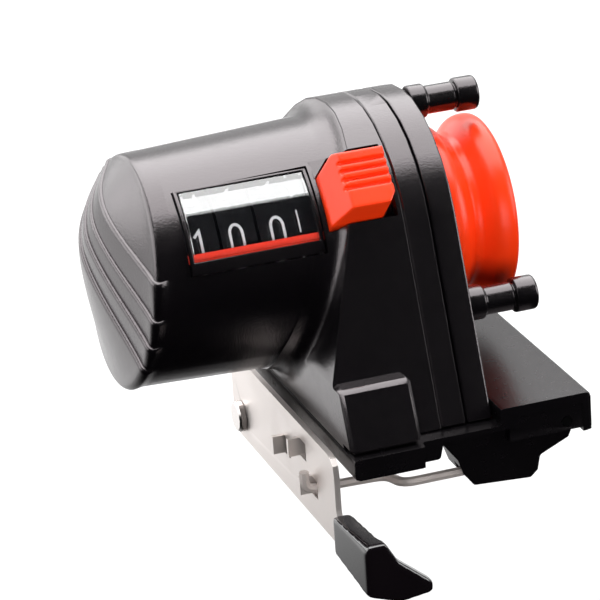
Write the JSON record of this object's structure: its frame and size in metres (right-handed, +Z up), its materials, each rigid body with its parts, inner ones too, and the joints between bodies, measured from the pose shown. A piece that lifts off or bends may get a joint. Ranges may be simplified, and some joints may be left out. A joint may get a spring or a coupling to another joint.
{
  "type": "fishing line counter",
  "caption": "Clamp-on fishing line counter: a black barrel with a digit window, a reset button, a red line wheel between guide pegs, and a rod clamp with a lever.",
  "frame": {"origin": "on the crest of the rod saddle, straight below the measuring wheel's axle", "axes": "+X along the wheel's axle from the barrel towards the wheel, +Y along the rod away from the reader, +Z up from the rod towards the wheel"},
  "size_m": [0.0874, 0.1055, 0.0805],
  "materials": {
    "black_moulding": "fine satin black moulding",
    "grip_plastic": "glossy black moulding",
    "orange_plastic": "smooth orange-red moulding",
    "plated_steel": "plain plated steel",
    "turned_brass": "turned brass",
    "gear_nylon": "natural moulded nylon",
    "drum_plastic": "matt black drum with white printed digits",
    "clear_window": "clear moulded window"
  },
  "bodies": {
    "counter_body": {"counter_housing": "black_moulding", "end_cap": "black_moulding", "window_bezel": "black_moulding", "window_lens": "clear_window", "case_frame": "black_moulding", "case_cover": "black_moulding", "case_screw_1": "plated_steel", "case_screw_2": "plated_steel", "case_screw_3": "plated_steel", "case_screw_4": "plated_steel", "hundreds_carrier": "plated_steel", "tens_carrier": "plated_steel", "drum_shaft": "plated_steel", "spindle_bush": "turned_brass", "bearing_bridge": "plated_steel", "upper_line_guide": "black_moulding", "lower_line_guide": "black_moulding", "reset_spring": "plated_steel", "rod_base": "black_moulding", "base_screw_1": "plated_steel", "base_screw_2": "plated_steel", "lever_pivot_pin": "plated_steel", "jaw_pin": "plated_steel"},
    "measuring_wheel": {"measuring_wheel": "orange_plastic", "wheel_spindle": "plated_steel", "wheel_nut": "plated_steel", "input_pinion": "turned_brass"},
    "first_reduction": {"first_reduction_gear": "gear_nylon"},
    "second_reduction": {"second_reduction_gear": "gear_nylon"},
    "units_drum": {"units_drum": "drum_plastic", "drum_drive_gear": "gear_nylon"},
    "tens_carry": {"tens_carry_pinion": "gear_nylon"},
    "tens_drum": {"tens_drum": "drum_plastic"},
    "hundreds_carry": {"hundreds_carry_pinion": "gear_nylon"},
    "hundreds_drum": {"hundreds_drum": "drum_plastic"},
    "reset_button": {"reset_button": "orange_plastic"},
    "clamp_lever": {"clamp_lever": "plated_steel", "lever_grip": "grip_plastic", "draw_wire": "plated_steel"},
    "clamp_jaw": {"clamp_jaw": "black_moulding"}
  },
  "joints": [
    {"name": "wheel_spin", "type": "hinge", "parent": "counter_body", "child": "measuring_wheel", "pos_m": [0.0205, 0, 0.03], "axis": [1, 0, 0], "continuous": true},
    {"name": "first_reduction_spin", "type": "hinge", "parent": "counter_body", "child": "first_reduction", "pos_m": [0.0077, -0.0075, 0.01701], "axis": [1, 0, 0], "continuous": true},
    {"name": "second_reduction_spin", "type": "hinge", "parent": "counter_body", "child": "second_reduction", "pos_m": [0.0025, 0.0075, 0.01701], "axis": [1, 0, 0], "continuous": true},
    {"name": "units_spin", "type": "hinge", "parent": "counter_body", "child": "units_drum", "pos_m": [-0.0204, 0, 0.03], "axis": [1, 0, 0], "continuous": true},
    {"name": "tens_carry_spin", "type": "hinge", "parent": "counter_body", "child": "tens_carry", "pos_m": [-0.0288, 0, 0.0195], "axis": [1, 0, 0], "continuous": true},
    {"name": "tens_spin", "type": "hinge", "parent": "counter_body", "child": "tens_drum", "pos_m": [-0.0303, 0, 0.03], "axis": [1, 0, 0], "continuous": true},
    {"name": "hundreds_carry_spin", "type": "hinge", "parent": "counter_body", "child": "hundreds_carry", "pos_m": [-0.0366, 0, 0.0195], "axis": [1, 0, 0], "continuous": true},
    {"name": "hundreds_spin", "type": "hinge", "parent": "counter_body", "child": "hundreds_drum", "pos_m": [-0.0381, 0, 0.03], "axis": [1, 0, 0], "continuous": true},
    {"name": "reset_press", "type": "slide", "parent": "counter_body", "child": "reset_button", "axis": [0, 0.7716, -0.6361], "range_m": [0, 0.002], "stiffness_N_per_m": 400, "deforming": ["reset_spring"]},
    {"name": "lever_swing", "type": "hinge", "parent": "counter_body", "child": "clamp_lever", "pos_m": [-0.022, 0.015, -0.0125], "axis": [1, 0, 0], "range_deg": [0, 50]},
    {"name": "jaw_swing", "type": "hinge", "parent": "counter_body", "child": "clamp_jaw", "pos_m": [0.026, 0, -0.0009], "axis": [0, -1, 0], "range_deg": [0, 25]}
  ],
  "couplings": [
    {"joint": "first_reduction_spin", "follows": "wheel_spin", "ratio": -0.25},
    {"joint": "second_reduction_spin", "follows": "wheel_spin", "ratio": 0.05},
    {"joint": "units_spin", "follows": "wheel_spin", "ratio": -0.01},
    {"joint": "tens_carry_spin", "follows": "wheel_spin", "ratio": -0.0033333},
    {"joint": "tens_spin", "follows": "wheel_spin", "ratio": -0.001},
    {"joint": "hundreds_carry_spin", "follows": "wheel_spin", "ratio": -0.00033333},
    {"joint": "hundreds_spin", "follows": "wheel_spin", "ratio": -0.0001},
    {"joint": "jaw_swing", "follows": "lever_swing", "ratio": 0.5}
  ]
}
